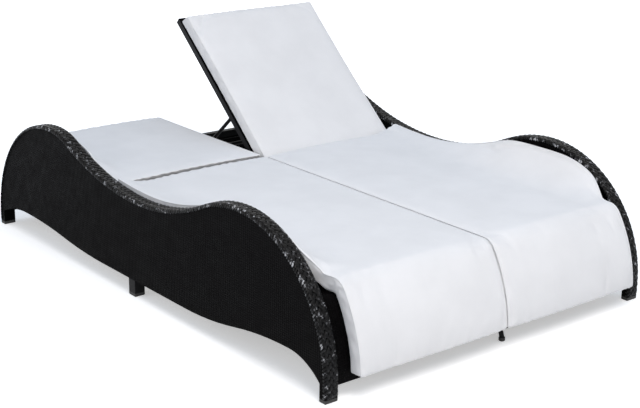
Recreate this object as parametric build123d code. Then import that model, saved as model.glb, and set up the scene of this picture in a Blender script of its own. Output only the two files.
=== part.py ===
from build123d import *
import os
from math import asin, atan2, cos, degrees, hypot, pi, radians, sin, sqrt, tan

os.makedirs("parts", exist_ok=True)

# Double chaise lounger: two wavy woven side panels carry a flat woven deck for two people.
# Each place has a backrest that hinges on the seat and is held by a folding prop.
# u is the distance from the head end, y is across and z is up from the floor.
# Left is -Y and right is +Y, as seen by someone who stands at the foot end.

# Whole object
panel_length = 2000.0
overall_width = 1350.0
panel_thick = 45.0

# Top edge of a side panel: head round, fall to the dip, rise to the knee, round at the foot
head_round_r = 430.0
head_round_base = 36.0
head_crest_share = 0.2084
dip_share = 0.505
dip_height = 344.0
dip_foot_share = 0.6592
knee_round_r = 415.0
knee_round_base = 56.0

# Bottom edge of a side panel
belly_height = 62.0
belly_start_share = 0.39
belly_end_share = 0.645
head_arch_height = 98.0
head_arch_inset = 215.0
foot_arch_height = 115.0
foot_arch_inset = 172.0
arch_spring_height = 57.0

# Steel tubes, woven skin and feet
weave = 3.5
tube_wall = 1.5
rail_depth = 20.0
upright_width = 20.0
mid_leg_share = 0.48
cap_height = 12.0
cap_chamfer = 2.5
cap_plug_height = 18.0
cap_plug_gap = 0.2
cross_size = 25.0
low_rail_size = 20.0
centre_rail_width = 50.0
deck_weave = 4.0

# Heights and places of the deck and its rails
deck_height = 291.0
support_rail_gap = 0.5
support_rail_inset = 180.0
mid_rail_share = 0.676
foot_rail_setback = 14.6
head_apron_low = 45.0
head_apron_top = 197.0
foot_apron_low = 50.0
low_rail_lift = 6.0
low_rail_gap = 0.2
seat_weave_gap = 1.0

# Ears and bolts that hold the cross rails to the side panels
ear_thick = 4.0
ear_drop = 28.0
ear_width = 12.0
bolt_d = 6.0
bolt_hole_d = 6.4
bolt_head_d = 11.0
bolt_head_height = 4.5
bolt_length = 20.0

# Splayed legs under the middle
centre_leg_d = 16.0
centre_leg_offset = 52.0
centre_leg_splay = 90.0
centre_cap_d = 21.0

# Backrests
back_length = 713.0
back_head_inset = 50.0
back_side_gap = 3.0
back_panel_gap = 27.0
back_tube_height = 21.0
back_tube_width = 25.0
back_weave_start = 12.0
back_foot_tube_at = 20.0
hinge_pin_d = 8.0
hinge_pin_gap = 0.05
hinge_lug_thick = 4.0
hinge_lug_r = 10.0
hinge_lug_gap = 0.3
hinge_head_d = 13.0
hinge_head_height = 5.0
hinge_pin_reveal = 0.5
right_backrest_angle = 41.6
backrest_max_angle = 55.0

# Folding props and the notched racks that their bars stand in
prop_length = 265.0
prop_drop = 24.0
prop_d = 14.0
prop_arm_inset = 35.0
prop_pin_d = 6.0
prop_pin_gap = 0.05
prop_lug_thick = 4.0
prop_lug_r = 9.0
prop_lug_gap = 0.3
prop_head_d = 10.0
prop_head_height = 4.0
prop_pin_reveal = 3.0
rack_thick = 5.0
rack_inset = 67.0
rack_low = 225.0
rack_web_height = 14.0
rack_bar_gap = 0.4
rack_notch_r = 5.0
rack_notch_drop = 1.0
rack_end_run = 9.0
rack_tab_run = 12.0
rack_stop_count = 5

# Cushions
cushion_thick = 50.0
cushion_gap = 0.6
cushion_crown = 4.0
cushion_edge_r = 12.0
cushion_seam_gap = 2.0
cushion_side_gap = 3.0
cushion_draw_in = 4.0
cushion_curl_share = 1.163
cushion_curl_least = 1.0
cushion_dip_lift = 16.0
cushion_knee_lift = -9.0
cushion_front_inset = 42.0
cushion_trim_lift = 0.3
cushion_tuck_end = 8.0
cushion_tuck_run = 240.0
cushion_front_low = 75.0
cushion_corner_r = 4.0
back_cushion_length = 690.0
back_cushion_foot_inset = 10.0
back_cushion_foot_lean = 30.0
back_cushion_head_lean = 14.0
seat_cushion_gap = 1.5
back_section_count = 11
seat_section_count = 14
cushion_end_round = 6.0

# One overrun serves all cuts, and one fine offset keeps arcs from being flat
overrun = 2.0
half_share = 0.5
quarter_turn = 90.0

# Values worked out from the sizes above
hang_low_angle = asin((cushion_front_low + cushion_edge_r - knee_round_base) / knee_round_r)
front_reach = knee_round_r + cushion_thick + cushion_crown
front_overhang = front_reach * cos(hang_low_angle) - knee_round_r
overall_length = panel_length + front_overhang
half_width = overall_width / 2
inner_half = half_width - panel_thick
leg_depth = rail_depth + 2 * weave
rail_width = panel_thick - 2 * weave
dip_u = panel_length * dip_share
knee_u = panel_length - knee_round_r
head_crest = head_round_base + head_round_r
knee_crest = knee_round_base + knee_round_r
back_stack = back_tube_height + deck_weave
back_width = inner_half - back_side_gap - back_panel_gap
hinge_u = back_head_inset + back_length
hinge_z = deck_height - deck_weave - back_tube_height / 2
deck_over_hinge = deck_height - hinge_z
cushion_base = deck_over_hinge + cushion_gap
cushion_top = cushion_base + cushion_thick
cushion_front_width = inner_half - cushion_front_inset
knee_rise = knee_crest + cushion_knee_lift - deck_height - cushion_gap - cushion_thick
cushion_curl_width = knee_rise * cushion_curl_share
support_rail_top = deck_height - back_stack - support_rail_gap
hinge_rail_u = hinge_u + cross_size
deck_front_u = knee_u + sqrt(knee_round_r**2 - (deck_height - knee_round_base) ** 2)
foot_rail_u = deck_front_u - foot_rail_setback - cross_size
mid_rail_u = panel_length * mid_rail_share - cross_size / 2
frame_rail_low = deck_height - deck_weave - cross_size
mid_leg_u = panel_length * mid_leg_share - rail_width / 2
left, right = -1, 1


# Small helpers for points, arcs and blocks

def toward(start, end, distance):
    run, rise = end[0] - start[0], end[1] - start[1]
    length = hypot(run, rise)
    return (start[0] + run / length * distance, start[1] + rise / length * distance)


def blend_sum(run, drop):
    """Sum of the radii of two tangent arcs that join two level tangents."""
    return (run**2 + drop**2) / (2 * drop)


def arc_edge(start, end, centre, radius):
    middle = ((start[0] + end[0]) / 2, (start[1] + end[1]) / 2)
    return ThreePointArc(start, toward(centre, middle, radius), end)


def chain(start, steps):
    edges = []
    for end, centre, radius in steps:
        edges.append(Line(start, end) if centre is None else arc_edge(start, end, centre, radius))
        start = end
    return edges


def plane_face(start, steps):
    return make_face(chain(start, steps + [(start, None, None)]))


def slab(face, y_from, y_to):
    """A drawing in u and z made solid between two places across the object."""
    low, high = min(y_from, y_to), max(y_from, y_to)
    plane = Plane(origin=(-overall_length / 2, high, 0), x_dir=(1, 0, 0), z_dir=(0, -1, 0))
    return extrude(plane * face, amount=high - low)


def strip(u_from, u_to, z_from, z_to):
    middle = ((u_from + u_to) / 2, (z_from + z_to) / 2)
    return Pos(middle[0], middle[1]) * Rectangle(u_to - u_from, z_to - z_from)


def block(u_from, u_to, y_from, y_to, z_from, z_to):
    return slab(strip(u_from, u_to, z_from, z_to), y_from, y_to)


def disc(u, z, diameter):
    return Pos(u, z) * Circle(diameter / 2)


def hexagon(u, z, diameter):
    return Pos(u, z) * RegularPolygon(diameter / 2, 6)


def save(name, *solids):
    pieces = [solid for shape in solids for solid in shape.solids()]
    export_step(pieces[0] if len(pieces) == 1 else Compound(pieces), "parts/" + name + ".step")


# Outline of a side panel, drawn at any inset from its edge

def top_steps(inset):
    """The wavy top edge, from the head end's upright line to the foot end's."""
    head_centre = (head_round_r, head_round_base)
    head_sum = blend_sum(dip_u - head_round_r, head_crest - dip_height)
    head_crest_r = head_sum * head_crest_share
    crest_centre = (head_round_r, head_crest - head_crest_r)
    dip_head_r = head_sum - head_crest_r
    dip_head_centre = (dip_u, dip_height + dip_head_r)
    foot_sum = blend_sum(knee_u - dip_u, knee_crest - dip_height)
    dip_foot_r = foot_sum * dip_foot_share
    knee_crest_r = foot_sum - dip_foot_r
    dip_foot_centre = (dip_u, dip_height + dip_foot_r)
    knee_crest_centre = (knee_u, knee_crest - knee_crest_r)
    knee_centre = (knee_u, knee_round_base)
    fall = toward(crest_centre, dip_head_centre, head_crest_r - inset)
    rise = toward(knee_crest_centre, dip_foot_centre, knee_crest_r - inset)
    return [
        ((head_round_r, head_crest - inset), head_centre, head_round_r - inset),
        (fall, crest_centre, head_crest_r - inset),
        ((dip_u, dip_height - inset), dip_head_centre, dip_head_r + inset),
        (rise, dip_foot_centre, dip_foot_r + inset),
        ((knee_u, knee_crest - inset), knee_crest_centre, knee_crest_r - inset),
        ((panel_length - inset, knee_round_base), knee_centre, knee_round_r - inset),
    ]


def under_top(inset, floor):
    start = (inset, head_round_base)
    steps = top_steps(inset) + [
        ((panel_length - inset, floor), None, None),
        ((inset, floor), None, None),
    ]
    return plane_face(start, steps)


def arch_height(centre, radius, u):
    return centre[1] + sqrt(radius**2 - (u - centre[0]) ** 2)


def arch_round(peak_u, peak_z, leg_u):
    """Circle of the arch between its peak and the side of a leg."""
    run, drop = abs(leg_u - peak_u), peak_z - arch_spring_height
    radius = blend_sum(run, drop)
    return (peak_u, peak_z - radius), radius


def under_bottom(inset, leg_side):
    """The space below the bottom edge, between lines leg_side in from both ends."""
    foot_peak, head_peak = panel_length - foot_arch_inset, head_arch_inset
    belly_from, belly_to = panel_length * belly_start_share, panel_length * belly_end_share
    foot_leg, head_leg = panel_length - leg_side, leg_side
    foot_arch, foot_arch_r = arch_round(foot_peak, foot_arch_height, panel_length - leg_depth)
    head_arch, head_arch_r = arch_round(head_peak, head_arch_height, leg_depth)
    foot_blend = blend_sum(foot_peak - belly_to, foot_arch_height - belly_height) / 2
    head_blend = blend_sum(belly_from - head_peak, head_arch_height - belly_height) / 2
    foot_hill = (foot_peak, foot_arch_height - foot_blend)
    foot_bowl = (belly_to, belly_height + foot_blend)
    head_bowl = (belly_from, belly_height + head_blend)
    head_hill = (head_peak, head_arch_height - head_blend)
    start = (foot_leg, arch_height(foot_arch, foot_arch_r + inset, foot_leg))
    head_end = (head_leg, arch_height(head_arch, head_arch_r + inset, head_leg))
    steps = [
        ((foot_peak, foot_arch_height + inset), foot_arch, foot_arch_r + inset),
        (toward(foot_hill, foot_bowl, foot_blend + inset), foot_hill, foot_blend + inset),
        ((belly_to, belly_height + inset), foot_bowl, foot_blend - inset),
        ((belly_from, belly_height + inset), None, None),
        (toward(head_hill, head_bowl, head_blend + inset), head_bowl, head_blend - inset),
        ((head_peak, head_arch_height + inset), head_hill, head_blend + inset),
        (head_end, head_arch, head_arch_r + inset),
        ((head_leg, -overrun), None, None),
        ((foot_leg, -overrun), None, None),
    ]
    return plane_face(start, steps)


def panel_face(inset):
    return under_top(inset, cap_height) - under_bottom(inset, leg_depth - inset)


def panel_field(inset):
    """What is left inside the panel between its top and bottom rails."""
    return under_top(inset, 0) - under_bottom(inset, inset)


def rim_height(u):
    """Height of the panel's top edge at a place along its length."""
    steps = top_steps(0)
    below = [step for step in steps if step[0][0] >= u]
    end, centre, radius = below[0] if below else steps[-1]
    reach = sqrt(max(radius**2 - (u - centre[0]) ** 2, 0))
    return centre[1] - reach if centre[1] > end[1] else centre[1] + reach


# Places of the cross rails: centre of the tube, and of the bolt in its ear

def head_arc_point(inset, angle):
    radius = head_round_r - inset
    return (head_round_r - radius * cos(angle), head_round_base + radius * sin(angle))


head_rail_inset = weave + cross_size / 2
head_rail_angle = asin((head_apron_top - head_round_base) / (head_round_r - head_rail_inset))
rail_middle = weave + rail_depth / 2
ear_angle = ear_drop / (head_round_r - rail_middle)
low_rail_z = foot_apron_low + low_rail_lift + low_rail_size / 2
head_low_z = head_apron_low + low_rail_lift + low_rail_size / 2
head_low_in = head_round_r - sqrt(
    (head_round_r - weave) ** 2 - (head_low_z + low_rail_size / 2 - head_round_base) ** 2
)
foot_low_in = knee_round_r - sqrt(
    (knee_round_r - weave) ** 2 - (low_rail_z + low_rail_size / 2 - knee_round_base) ** 2
)

cross_rails = {
    "head_rail": (
        head_arc_point(head_rail_inset, head_rail_angle),
        head_arc_point(rail_middle, head_rail_angle - ear_angle),
    ),
    "head_lower_rail": (
        (head_low_in + low_rail_gap + low_rail_size / 2, head_low_z),
        (rail_middle, head_low_z + ear_drop),
    ),
    "head_support_rail": (
        (support_rail_inset, support_rail_top - cross_size / 2),
        (support_rail_inset, support_rail_top - cross_size / 2 - ear_drop),
    ),
    "hinge_rail": (
        (hinge_rail_u + cross_size / 2, frame_rail_low + cross_size / 2),
        (hinge_rail_u + cross_size / 2, frame_rail_low + cross_size / 2 - ear_drop),
    ),
    "mid_rail": (
        (mid_rail_u + cross_size / 2, frame_rail_low - cross_size / 2),
        (mid_rail_u + cross_size / 2, frame_rail_low - cross_size / 2 - ear_drop),
    ),
    "foot_rail": (
        (foot_rail_u + cross_size / 2, frame_rail_low + cross_size / 2),
        (foot_rail_u + cross_size / 2, frame_rail_low + cross_size / 2 - ear_drop),
    ),
    "foot_lower_rail": (
        (panel_length - foot_low_in - low_rail_gap - low_rail_size / 2, low_rail_z),
        (panel_length - rail_middle, low_rail_z + ear_drop),
    ),
}
upright_rails = ["head_support_rail", "hinge_rail", "mid_rail", "foot_rail"]


def square(centre, size):
    return Pos(centre[0], centre[1]) * Rectangle(size, size)


def cross_rail(name):
    """A tube from panel to panel, with a drilled ear welded on each end."""
    centre, bolt = cross_rails[name]
    size = low_rail_size if "lower" in name else cross_size
    if name == "head_rail":
        outer, bore = disc(*centre, size), disc(*centre, size - 2 * tube_wall)
    else:
        outer, bore = square(centre, size), square(centre, size - 2 * tube_wall)
    run, rise = bolt[0] - centre[0], bolt[1] - centre[1]
    reach = hypot(run, rise)
    ear = Rectangle(reach, ear_width) + Pos(reach / 2) * Circle(ear_width / 2)
    turn = degrees(atan2(rise, run))
    ear = Pos((centre[0] + bolt[0]) / 2, (centre[1] + bolt[1]) / 2) * Rot(0, 0, turn) * ear
    ear = ear + outer - disc(*bolt, bolt_hole_d)
    tube_end = inner_half - ear_thick
    rail = slab(outer, -tube_end, tube_end) - slab(bore, -inner_half, inner_half)
    return [rail] + [slab(ear, side * tube_end, side * inner_half) for side in (left, right)]


def bolt_holes(side):
    face = Sketch() + [disc(*bolt, bolt_hole_d) for _, bolt in cross_rails.values()]
    return slab(face, side * (inner_half - overrun), side * (inner_half + panel_thick / 2))


def frame_bolts():
    seat = inner_half - ear_thick
    bolts = []
    for side in (left, right):
        for _, place in cross_rails.values():
            head = slab(hexagon(*place, bolt_head_d), side * seat, side * (seat - bolt_head_height))
            shank = slab(disc(*place, bolt_d), side * seat, side * (seat + bolt_length))
            bolts.append(head + shank)
    return bolts


# Side panels: steel inside, woven skin outside

def mid_leg_strip(size):
    middle = mid_leg_u + rail_width / 2
    return strip(middle - size / 2, middle + size / 2, cap_height, head_crest)


def top_rail(side, holes):
    middle = half_width - panel_thick / 2
    near, far = side * (middle - rail_width / 2), side * (middle + rail_width / 2)
    outer = panel_face(weave) - under_top(weave + rail_depth, -overrun)
    walls = under_top(weave + tube_wall, -overrun)
    bore = walls - under_top(weave + rail_depth - tube_wall, -overrun * 2)
    bore_near, bore_far = near + side * tube_wall, far - side * tube_wall
    return slab(outer, near, far) - slab(bore, bore_near, bore_far) - holes


def bottom_rail(side):
    middle = half_width - panel_thick / 2
    near, far = side * (middle - rail_width / 2), side * (middle + rail_width / 2)
    end = weave + rail_depth
    outer = under_bottom(end, end) - under_bottom(weave, end)
    bore = under_bottom(end - tube_wall, end - overrun) - under_bottom(
        weave + tube_wall, end - overrun
    )
    outer &= under_top(end, 0)
    rail = slab(outer, near, far) - slab(bore, near + side * tube_wall, far - side * tube_wall)
    return rail - slab(mid_leg_strip(rail_width), near, far)


def uprights(side, holes):
    middle = half_width - panel_thick / 2
    near, far = side * (middle - rail_width / 2), side * (middle + rail_width / 2)
    field = panel_field(weave + rail_depth)
    posts = []
    for name in upright_rails:
        u = cross_rails[name][1][0]
        post = field & strip(u - upright_width / 2, u + upright_width / 2, 0, head_crest)
        bore_half = upright_width / 2 - tube_wall
        bore = strip(u - bore_half, u + bore_half, 0, head_crest)
        solid = slab(post, near, far) - slab(bore, near + side * tube_wall, far - side * tube_wall)
        posts.append(solid - holes)
    return posts


def mid_leg(side):
    middle = half_width - panel_thick / 2
    near, far = side * (middle - rail_width / 2), side * (middle + rail_width / 2)
    face = under_top(weave + rail_depth, 0) & mid_leg_strip(rail_width)
    bore = Pos(0, -overrun) * mid_leg_strip(rail_width - 2 * tube_wall)
    return slab(face, near, far) - slab(bore, near + side * tube_wall, far - side * tube_wall)


def outer_weave(side):
    return slab(panel_face(weave), side * (half_width - weave), side * half_width)


def inner_weave(side, holes):
    return slab(panel_face(weave), side * inner_half, side * (inner_half + weave)) - holes


def rim_wrap(side):
    ring = panel_face(0) - panel_face(weave)
    wrap = slab(ring, side * inner_half, side * half_width)
    middle = half_width - panel_thick / 2
    near, far = side * (middle - rail_width / 2), side * (middle + rail_width / 2)
    return wrap - slab(mid_leg_strip(rail_width) & strip(0, panel_length, 0, dip_height / 2), near, far)


def foot_block(u_from, u_to, y_from, y_to):
    """A moulded foot: a chamfered shoe with a plug that fits the tube above it."""
    low, high = min(y_from, y_to), max(y_from, y_to)
    shoe = block(u_from, u_to, low, high, 0, cap_height)
    shoe = chamfer(shoe.faces().sort_by(Axis.Z)[0].edges(), cap_chamfer)
    return shoe


def plug(u_from, u_to, side):
    middle = side * (half_width - panel_thick / 2)
    half_u = (u_to - u_from) / 2 - tube_wall - cap_plug_gap
    half_y = rail_width / 2 - tube_wall - cap_plug_gap
    centre = (u_from + u_to) / 2
    top = cap_height + cap_plug_height
    return block(centre - half_u, centre + half_u, middle - half_y, middle + half_y, cap_height, top)


def leg_caps():
    caps = []
    for side in (left, right):
        inner, outer = side * inner_half, side * half_width
        for shoe_from, tube_from in (
            (0, weave),
            (panel_length - leg_depth, panel_length - weave - rail_depth),
        ):
            shoe = foot_block(shoe_from, shoe_from + leg_depth, inner, outer)
            caps.append(shoe + plug(tube_from, tube_from + rail_depth, side))
        middle = half_width - panel_thick / 2
        near, far = side * (middle - rail_width / 2), side * (middle + rail_width / 2)
        shoe = foot_block(mid_leg_u, mid_leg_u + rail_width, near, far)
        caps.append(shoe + plug(mid_leg_u, mid_leg_u + rail_width, side))
    for foot_u in centre_leg_feet():
        shoe = Cylinder(centre_cap_d / 2, cap_height)
        shoe = chamfer(shoe.edges().sort_by(Axis.Z)[0], cap_chamfer)
        place = Pos(foot_u - overall_length / 2, centre_leg_offset, cap_height / 2)
        caps.append(place * shoe)
    return caps


# Legs under the middle, splayed towards the two ends

def centre_leg_feet():
    foot = foot_rail_u + cross_size / 2 + centre_leg_splay
    return support_rail_inset - centre_leg_splay, foot - cross_size / 2


def centre_leg(top_u, top_z, foot_u):
    run, rise = foot_u - top_u, cap_height - top_z
    length, turn = hypot(run, rise), degrees(atan2(rise, run))
    middle = ((top_u + foot_u) / 2, (top_z + cap_height) / 2)
    along = Rot(0, quarter_turn - turn, 0)
    place = Pos(middle[0] - overall_length / 2, centre_leg_offset, middle[1])
    outer = Cylinder(centre_leg_d / 2, length + centre_leg_d)
    bore = Cylinder(centre_leg_d / 2 - tube_wall, length + 2 * centre_leg_d)
    reach = length + centre_leg_d
    room = block(
        middle[0] - reach,
        middle[0] + reach,
        centre_leg_offset - centre_leg_d,
        centre_leg_offset + centre_leg_d,
        cap_height,
        top_z,
    )
    return (place * along * (outer - bore)) & room


# Deck and aprons

def seat_weave(side):
    face = under_top(0, 0) & strip(
        hinge_rail_u, panel_length, deck_height - deck_weave, deck_height
    )
    return slab(face, side * seat_weave_gap, side * inner_half)


def foot_apron():
    sheet = under_top(0, 0) - under_top(weave, -overrun)
    sheet &= strip(knee_u, panel_length, foot_apron_low, deck_height - deck_weave)
    return slab(sheet, -inner_half, inner_half)


def head_apron():
    """A sheet that follows the head round and is folded over the round head rail."""
    low = asin((head_apron_low - head_round_base) / head_round_r)
    low_in = asin((head_apron_low - head_round_base) / (head_round_r - weave))
    centre = head_arc_point(head_rail_inset, head_rail_angle)
    fold_r = cross_size / 2
    outward = (cos(head_rail_angle), -sin(head_rail_angle))
    back_out = (centre[0] + outward[0] * (fold_r + weave), centre[1] + outward[1] * (fold_r + weave))
    back_in = (centre[0] + outward[0] * fold_r, centre[1] + outward[1] * fold_r)
    over = (-outward[1], outward[0])
    crown_out = (centre[0] + over[0] * (fold_r + weave), centre[1] + over[1] * (fold_r + weave))
    crown_in = (centre[0] + over[0] * fold_r, centre[1] + over[1] * fold_r)
    head_centre = (head_round_r, head_round_base)
    start = head_arc_point(0, low)
    steps = [
        (head_arc_point(0, head_rail_angle), head_centre, head_round_r),
        (crown_out, centre, fold_r + weave),
        (back_out, centre, fold_r + weave),
        (back_in, None, None),
        (crown_in, centre, fold_r),
        (head_arc_point(weave, head_rail_angle), centre, fold_r),
        (head_arc_point(weave, low_in), head_centre, head_round_r - weave),
    ]
    return slab(plane_face(start, steps), -inner_half, inner_half)


def lengthwise_tube(y_from, y_to, u_from, u_to, z_from, z_to):
    low, high = min(y_from, y_to), max(y_from, y_to)
    bore = block(
        u_from - overrun,
        u_to + overrun,
        low + tube_wall,
        high - tube_wall,
        z_from + tube_wall,
        z_to - tube_wall,
    )
    return block(u_from, u_to, low, high, z_from, z_to) - bore


def seat_side_rail(side):
    near, far = side * (inner_half - cross_size), side * inner_half
    low = frame_rail_low
    return lengthwise_tube(near, far, hinge_rail_u + cross_size, foot_rail_u, low, low + cross_size)


def seat_centre_rail():
    half, low = centre_rail_width / 2, frame_rail_low
    return lengthwise_tube(
        -half, half, hinge_rail_u + cross_size, foot_rail_u, low, low + cross_size
    )


# Backrests are drawn lying flat and then turned about the hinge

def raise_back(shape, angle):
    axis = Axis((hinge_u - overall_length / 2, 0, hinge_z), (0, 1, 0))
    return shape.rotate(axis, angle)


def back_edges(side):
    return side * back_side_gap, side * (back_side_gap + back_width)


def back_side_tube(side, outer):
    near, far = back_edges(side)
    y_from = far - side * back_tube_width if outer else near
    y_to = far if outer else near + side * back_tube_width
    half = back_tube_height / 2
    profile = strip(back_head_inset, hinge_u, hinge_z - half, hinge_z + half)
    profile += disc(hinge_u, hinge_z, back_tube_height)
    profile -= disc(hinge_u, hinge_z, hinge_pin_d + 2 * hinge_pin_gap)
    bore_to = hinge_u - back_foot_tube_at
    bore = strip(
        back_head_inset - overrun, bore_to, hinge_z - half + tube_wall, hinge_z + half - tube_wall
    )
    return slab(profile, y_from, y_to) - slab(bore, y_from + side * tube_wall, y_to - side * tube_wall)


def back_cross_tube(side, centre_distance, width):
    near, far = back_edges(side)
    y_from, y_to = near + side * back_tube_width, far - side * back_tube_width
    centre, half = hinge_u - centre_distance, back_tube_height / 2
    outer = strip(centre - width / 2, centre + width / 2, hinge_z - half, hinge_z + half)
    inner_half_width, inner_h = width / 2 - tube_wall, half - tube_wall
    bore = strip(
        centre - inner_half_width, centre + inner_half_width, hinge_z - inner_h, hinge_z + inner_h
    )
    return slab(outer, y_from, y_to) - slab(bore, y_from, y_to)


def arm_places(side):
    """Where the two prop arms run across the object, and which way their lugs lie."""
    near, far = back_edges(side)
    return (near + side * prop_arm_inset, side), (far - side * prop_arm_inset, -side)


def prop_pivot():
    return hinge_u - prop_length, hinge_z - prop_drop


def prop_lug(place, facing):
    u, z = prop_pivot()
    low = place + facing * (prop_d / 2 + prop_lug_gap)
    high = low + facing * prop_lug_thick
    profile = strip(u - prop_lug_r, u + prop_lug_r, z, hinge_z - back_tube_height / 2)
    profile = profile + disc(u, z, 2 * prop_lug_r)
    profile -= disc(u, z, prop_pin_d + 2 * prop_pin_gap)
    return slab(profile, low, high)


def back_prop_tube(side):
    """The cross tube that carries a prop, with a drilled lug welded under it for each arm."""
    tube = back_cross_tube(side, prop_length, back_tube_width)
    return [tube] + [prop_lug(place, facing) for place, facing in arm_places(side)]


def back_weave(side):
    """The woven mat over the backrest, folded down over its head tube."""
    near, far = back_edges(side)
    low, high = hinge_z + back_tube_height / 2, hinge_z + back_tube_height / 2 + deck_weave
    mat = strip(back_head_inset - deck_weave, hinge_u - back_weave_start, low, high)
    fold = strip(back_head_inset - deck_weave, back_head_inset, low - back_tube_height, high)
    sheet = slab(mat + fold, near, far)
    lip = sheet.edges().filter_by(Axis.Y).group_by(Axis.X)[0].sort_by(Axis.Z)[-1]
    return fillet(lip, deck_weave - tube_wall)


def prop_bolts(side):
    u, z = prop_pivot()
    bolts = []
    for place, facing in arm_places(side):
        lug_far = place + facing * (prop_d / 2 + prop_lug_gap + prop_lug_thick)
        end = place - facing * (prop_d / 2 + prop_pin_reveal)
        shank = slab(disc(u, z, prop_pin_d), lug_far, end)
        bolts.append(shank + slab(hexagon(u, z, prop_head_d), lug_far, lug_far + facing * prop_head_height))
    return bolts


# Props: two arms that hang from the backrest and a bar that stands in the racks

def prop_foot():
    u, z = prop_pivot()
    return u - prop_length, z


def prop_arms(side):
    u, z = prop_pivot()
    foot_u, _ = prop_foot()
    arms = []
    for place, _ in arm_places(side):
        rod = Rot(0, quarter_turn, 0) * Cylinder(prop_d / 2, prop_length)
        rod = Pos((u + foot_u) / 2 - overall_length / 2, place, z) * rod
        eye = Pos(u - overall_length / 2, place, z) * Sphere(prop_d / 2)
        arm = rod + eye
        hole = slab(disc(u, z, prop_pin_d + 2 * prop_pin_gap), place - prop_d, place + prop_d)
        seat = slab(disc(foot_u, z, prop_d), place - prop_d, place + prop_d)
        arms.append(arm - hole - seat)
    return arms


def prop_bar(side):
    foot_u, z = prop_foot()
    (inner, _), (outer, _) = arm_places(side)
    reach = side * prop_d / 2
    return slab(disc(foot_u, z, prop_d), inner - reach, outer + reach)


def place_prop(shape, angle):
    """A prop at a backrest angle: carried by the backrest and turned twice as far back."""
    pivot_u, pivot_z = prop_pivot()
    own_axis = Axis((pivot_u - overall_length / 2, 0, pivot_z), (0, 1, 0))
    return raise_back(shape.rotate(own_axis, -2 * angle), angle)


def bar_place(angle):
    turn = radians(angle)
    u = hinge_u - 2 * prop_length * cos(turn) - prop_drop * sin(turn)
    return u, hinge_z - prop_drop * cos(turn)


def rack(side, place):
    """A plate on edge with a scalloped notch at each place of the bar, and its two end tabs."""
    start_u, end_u = support_rail_inset + cross_size / 2, hinge_rail_u
    flat, high = bar_place(0), bar_place(backrest_max_angle)
    length = hypot(high[0] - flat[0], high[1] - flat[1])
    ahead = ((high[0] - flat[0]) / length, (high[1] - flat[1]) / length)
    under = (ahead[1], -ahead[0])

    def beside(point, down, along):
        return (
            point[0] + under[0] * down + ahead[0] * along,
            point[1] + under[1] * down + ahead[1] * along,
        )

    reach = prop_d / 2 + rack_bar_gap
    web_top = rack_low + rack_web_height
    outline = [
        (start_u, rack_low),
        (start_u, web_top),
        beside(flat, reach, -rack_end_run),
        beside(high, reach, rack_end_run),
        (high[0] + rack_end_run + prop_d, web_top),
        (end_u, web_top),
        (end_u, rack_low),
    ]
    face = make_face(Polyline(*outline, close=True))
    for stop in range(rack_stop_count):
        bar = bar_place(backrest_max_angle * stop / (rack_stop_count - 1))
        notch = beside(bar, reach - rack_notch_drop, 0)
        face -= disc(*notch, 2 * rack_notch_r)
    head_tab = strip(start_u, start_u + rack_tab_run, web_top, support_rail_top - cross_size / 2)
    foot_tab = strip(end_u - rack_tab_run, end_u, web_top, frame_rail_low + cross_size / 2)
    return [slab(drawn, place, place + side * rack_thick) for drawn in (face, head_tab, foot_tab)]


def racks(side):
    near, far = back_edges(side)
    outer = far - side * (rack_inset + rack_thick)
    return rack(side, near + side * rack_inset) + rack(side, outer)


# Hinges

def hinge_lug_places(side):
    near, far = back_edges(side)
    inner = near + side * (back_tube_width + hinge_lug_gap)
    outer = far - side * (back_tube_width + hinge_lug_gap)
    return (inner, side, near), (outer, -side, far)


def hinge_lugs():
    lugs = []
    for side in (left, right):
        for place, facing, _ in hinge_lug_places(side):
            profile = strip(hinge_u, hinge_rail_u, hinge_z - hinge_lug_r, hinge_z + hinge_lug_r)
            profile += disc(hinge_u, hinge_z, 2 * hinge_lug_r)
            profile -= disc(hinge_u, hinge_z, hinge_pin_d + 2 * hinge_pin_gap)
            lugs.append(slab(profile, place, place + facing * hinge_lug_thick))
    return lugs


def hinge_bolts():
    bolts = []
    for side in (left, right):
        for place, facing, tube_side in hinge_lug_places(side):
            seat = place + facing * hinge_lug_thick
            end = tube_side - facing * hinge_pin_reveal
            shank = slab(disc(hinge_u, hinge_z, hinge_pin_d), seat, end)
            head = slab(hexagon(hinge_u, hinge_z, hinge_head_d), seat, seat + facing * hinge_head_height)
            bolts.append(shank + head)
    return bolts


# Cushions are lofted through sections that stand on a path along the deck

cushion_body = cushion_thick - cushion_gap


def edge_rise(u):
    """How far the cushion's outer edge is turned up along the wavy panel."""
    head_share = min(max((u - head_round_r) / (dip_u - head_round_r), 0), 1)
    foot_share = min(max((u - dip_u) / (knee_u - dip_u), 0), 1)
    lift = cushion_dip_lift * sin(head_share * pi / 2)
    lift += (cushion_knee_lift - cushion_dip_lift) * foot_share**2
    rise = rim_height(u) + lift - deck_height - cushion_gap - cushion_thick
    return max(rise, cushion_curl_least)


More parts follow.
